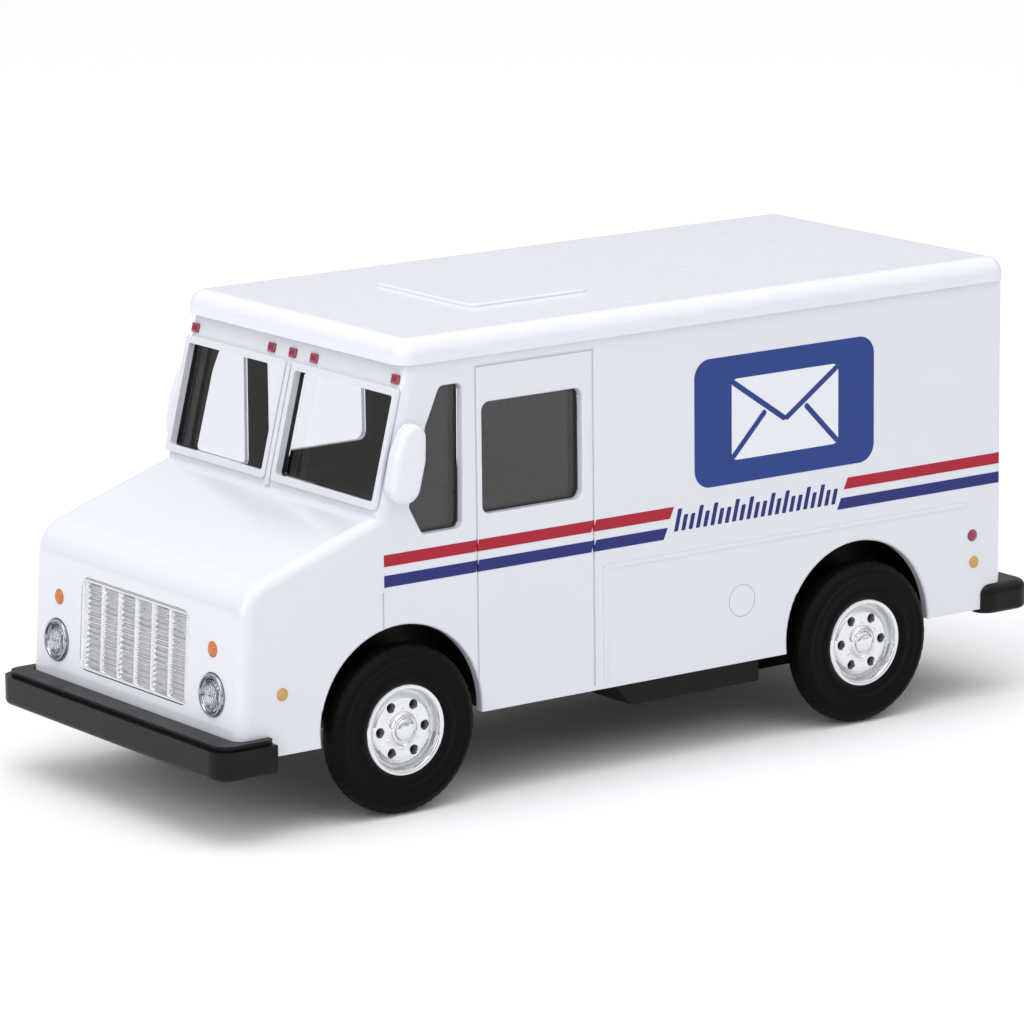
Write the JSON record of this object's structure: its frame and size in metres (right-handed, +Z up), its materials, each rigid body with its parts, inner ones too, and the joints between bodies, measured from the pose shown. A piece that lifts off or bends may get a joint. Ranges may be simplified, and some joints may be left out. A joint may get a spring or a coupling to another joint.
{
  "type": "toy delivery van",
  "caption": "Small die-cast pull-back toy step van with a hollow cast body, smoked windows, black base pan, turning chromed wheels and a spring motor on the rear axle.",
  "frame": {"origin": "on the ground, under the middle of the van's overall box", "axes": "+X towards the van's left side, front faces -Y so +Y runs from nose to tail, +Z up"},
  "size_m": [0.0516, 0.1278, 0.0588],
  "materials": {
    "white_enamel": "gloss white enamel on a zinc casting",
    "white_plastic": "gloss white ABS",
    "clear_glazing": "clear styrene",
    "clear_lens": "clear styrene",
    "chrome_plate": "vacuum plated ABS",
    "amber_plastic": "gloss amber",
    "red_plastic": "gloss red",
    "black_plastic": "satin black ABS",
    "grey_plastic": "satin dark grey ABS",
    "acetal": "natural acetal",
    "tyre_rubber": "soft black vinyl",
    "steel": "zinc plated steel",
    "spring_steel": "blued spring steel"
  },
  "bodies": {
    "truck": {"body_shell": "white_enamel", "roof_cap": "white_plastic", "mirror_left": "white_plastic", "mirror_right": "white_plastic", "windshield_glazing": "clear_glazing", "side_glazing_left": "clear_glazing", "side_glazing_right": "clear_glazing", "cab_tray": "black_plastic", "grille_insert": "chrome_plate", "headlight_left": "chrome_plate", "headlight_right": "chrome_plate", "headlight_lens_left": "clear_lens", "headlight_lens_right": "clear_lens", "turn_lamps": "amber_plastic", "side_markers": "amber_plastic", "rear_side_reflectors": "red_plastic", "clearance_lamps": "red_plastic", "base_pan": "black_plastic", "front_bumper": "black_plastic", "rear_bumper": "black_plastic", "chassis_screws": "steel", "motor_case_left": "grey_plastic", "motor_case_right": "grey_plastic", "transfer_pin": "steel", "drum_arbor": "steel"},
    "front_wheels": {"front_axle": "steel", "front_rim_left": "chrome_plate", "front_rim_right": "chrome_plate", "front_tyre_left": "tyre_rubber", "front_tyre_right": "tyre_rubber"},
    "rear_wheels": {"rear_axle": "steel", "axle_gear": "acetal", "rear_rim_left": "chrome_plate", "rear_rim_right": "chrome_plate", "rear_tyre_left": "tyre_rubber", "rear_tyre_right": "tyre_rubber"},
    "transfer": {"transfer_gear": "acetal"},
    "drum": {"spring_drum": "acetal", "mainspring": "spring_steel"}
  },
  "joints": [
    {"name": "rear_wheel_spin", "type": "hinge", "parent": "truck", "child": "rear_wheels", "pos_m": [0, 0.0358, 0.0106], "axis": [1, 0, 0], "continuous": true},
    {"name": "front_wheel_spin", "type": "hinge", "parent": "truck", "child": "front_wheels", "pos_m": [0, -0.0362, 0.0106], "axis": [1, 0, 0], "continuous": true},
    {"name": "transfer_spin", "type": "hinge", "parent": "truck", "child": "transfer", "pos_m": [0, 0.02835, 0.0148], "axis": [1, 0, 0], "continuous": true},
    {"name": "drum_spin", "type": "hinge", "parent": "truck", "child": "drum", "pos_m": [0, 0.0193, 0.0148], "axis": [1, 0, 0], "continuous": true}
  ],
  "couplings": [
    {"joint": "transfer_spin", "follows": "rear_wheel_spin", "ratio": -0.41667},
    {"joint": "drum_spin", "follows": "rear_wheel_spin", "ratio": 0.16026}
  ]
}
